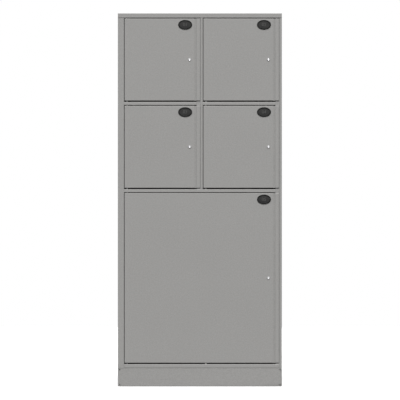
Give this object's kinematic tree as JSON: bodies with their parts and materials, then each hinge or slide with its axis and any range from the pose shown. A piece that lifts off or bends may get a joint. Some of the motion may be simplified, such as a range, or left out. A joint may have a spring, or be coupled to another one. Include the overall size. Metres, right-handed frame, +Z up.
{
  "type": "parcel locker",
  "caption": "Free-standing sheet-steel parcel cabinet with small compartments above one large one, each behind a pin-hung lockable door.",
  "frame": {"origin": "on the floor, at the middle of the cabinet's footprint", "axes": "+Z up, doors face -Y, +X to the right seen from the front"},
  "size_m": [0.914, 0.614, 2.08],
  "materials": {
    "powder_coat": "fine-texture grey powder coat, satin",
    "lock_chrome": "polished nickel-chrome plate",
    "zinc": "dull zinc plate",
    "plate": "black moulded plastic, fine grain, raised number in pale grey",
    "nylon": "natural nylon",
    "rubber": "black rubber"
  },
  "bodies": {
    "cabinet": {"side_panel_left": "powder_coat", "side_panel_right": "powder_coat", "back_panel": "powder_coat", "top_panel": "powder_coat", "floor_panel": "powder_coat", "center_divider": "powder_coat", "shelf_upper_left": "powder_coat", "shelf_upper_right": "powder_coat", "shelf_middle": "powder_coat", "stile_left": "powder_coat", "stile_right": "powder_coat", "mullion": "powder_coat", "rail_top": "powder_coat", "rail_upper_left": "powder_coat", "rail_upper_right": "powder_coat", "rail_middle": "powder_coat", "rail_bottom": "powder_coat", "base_front": "powder_coat", "base_back": "powder_coat", "base_left": "powder_coat", "base_right": "powder_coat", "pivot_pins": "zinc", "door_bumpers": "rubber", "door_glide": "nylon"},
    "leaf_1": {"door_1": "powder_coat", "number_plate_1": "plate", "pivot_bushes_1": "nylon", "lock_barrel_1": "lock_chrome", "lock_nut_1": "zinc"},
    "key_plug_1": {"lock_plug_1": "lock_chrome", "lock_cam_1": "zinc"},
    "leaf_2": {"door_2": "powder_coat", "number_plate_2": "plate", "pivot_bushes_2": "nylon", "lock_barrel_2": "lock_chrome", "lock_nut_2": "zinc"},
    "key_plug_2": {"lock_plug_2": "lock_chrome", "lock_cam_2": "zinc"},
    "leaf_3": {"door_3": "powder_coat", "number_plate_3": "plate", "pivot_bushes_3": "nylon", "lock_barrel_3": "lock_chrome", "lock_nut_3": "zinc"},
    "key_plug_3": {"lock_plug_3": "lock_chrome", "lock_cam_3": "zinc"},
    "leaf_4": {"door_4": "powder_coat", "number_plate_4": "plate", "pivot_bushes_4": "nylon", "lock_barrel_4": "lock_chrome", "lock_nut_4": "zinc"},
    "key_plug_4": {"lock_plug_4": "lock_chrome", "lock_cam_4": "zinc"},
    "leaf_5": {"door_5": "powder_coat", "number_plate_5": "plate", "pivot_bushes_5": "nylon", "lock_barrel_5": "lock_chrome", "lock_nut_5": "zinc", "door_5_stiffener": "powder_coat"},
    "key_plug_5": {"lock_plug_5": "lock_chrome", "lock_cam_5": "zinc"}
  },
  "joints": [
    {"name": "door_1_hinge", "type": "hinge", "parent": "cabinet", "child": "leaf_1", "pos_m": [-0.4055, -0.296, 1.822], "axis": [0, 0, -1], "range_deg": [0, 110]},
    {"name": "door_2_hinge", "type": "hinge", "parent": "cabinet", "child": "leaf_2", "pos_m": [0.03375, -0.296, 1.822], "axis": [0, 0, -1], "range_deg": [0, 110]},
    {"name": "door_3_hinge", "type": "hinge", "parent": "cabinet", "child": "leaf_3", "pos_m": [-0.4055, -0.296, 1.3355], "axis": [0, 0, -1], "range_deg": [0, 110]},
    {"name": "door_4_hinge", "type": "hinge", "parent": "cabinet", "child": "leaf_4", "pos_m": [0.03375, -0.296, 1.3355], "axis": [0, 0, -1], "range_deg": [0, 110]},
    {"name": "door_5_hinge", "type": "hinge", "parent": "cabinet", "child": "leaf_5", "pos_m": [-0.4055, -0.296, 0.60475], "axis": [0, 0, -1], "range_deg": [0, 110]},
    {"name": "lock_1_turn", "type": "hinge", "parent": "leaf_1", "child": "key_plug_1", "pos_m": [-0.05695, -0.296, 1.822], "axis": [0, -1, 0], "range_deg": [0, 90]},
    {"name": "lock_2_turn", "type": "hinge", "parent": "leaf_2", "child": "key_plug_2", "pos_m": [0.3823, -0.296, 1.822], "axis": [0, -1, 0], "range_deg": [0, 90]},
    {"name": "lock_3_turn", "type": "hinge", "parent": "leaf_3", "child": "key_plug_3", "pos_m": [-0.05695, -0.296, 1.3355], "axis": [0, -1, 0], "range_deg": [0, 90]},
    {"name": "lock_4_turn", "type": "hinge", "parent": "leaf_4", "child": "key_plug_4", "pos_m": [0.3823, -0.296, 1.3355], "axis": [0, -1, 0], "range_deg": [0, 90]},
    {"name": "lock_5_turn", "type": "hinge", "parent": "leaf_5", "child": "key_plug_5", "pos_m": [0.3823, -0.296, 0.60475], "axis": [0, -1, 0], "range_deg": [0, 90]}
  ]
}
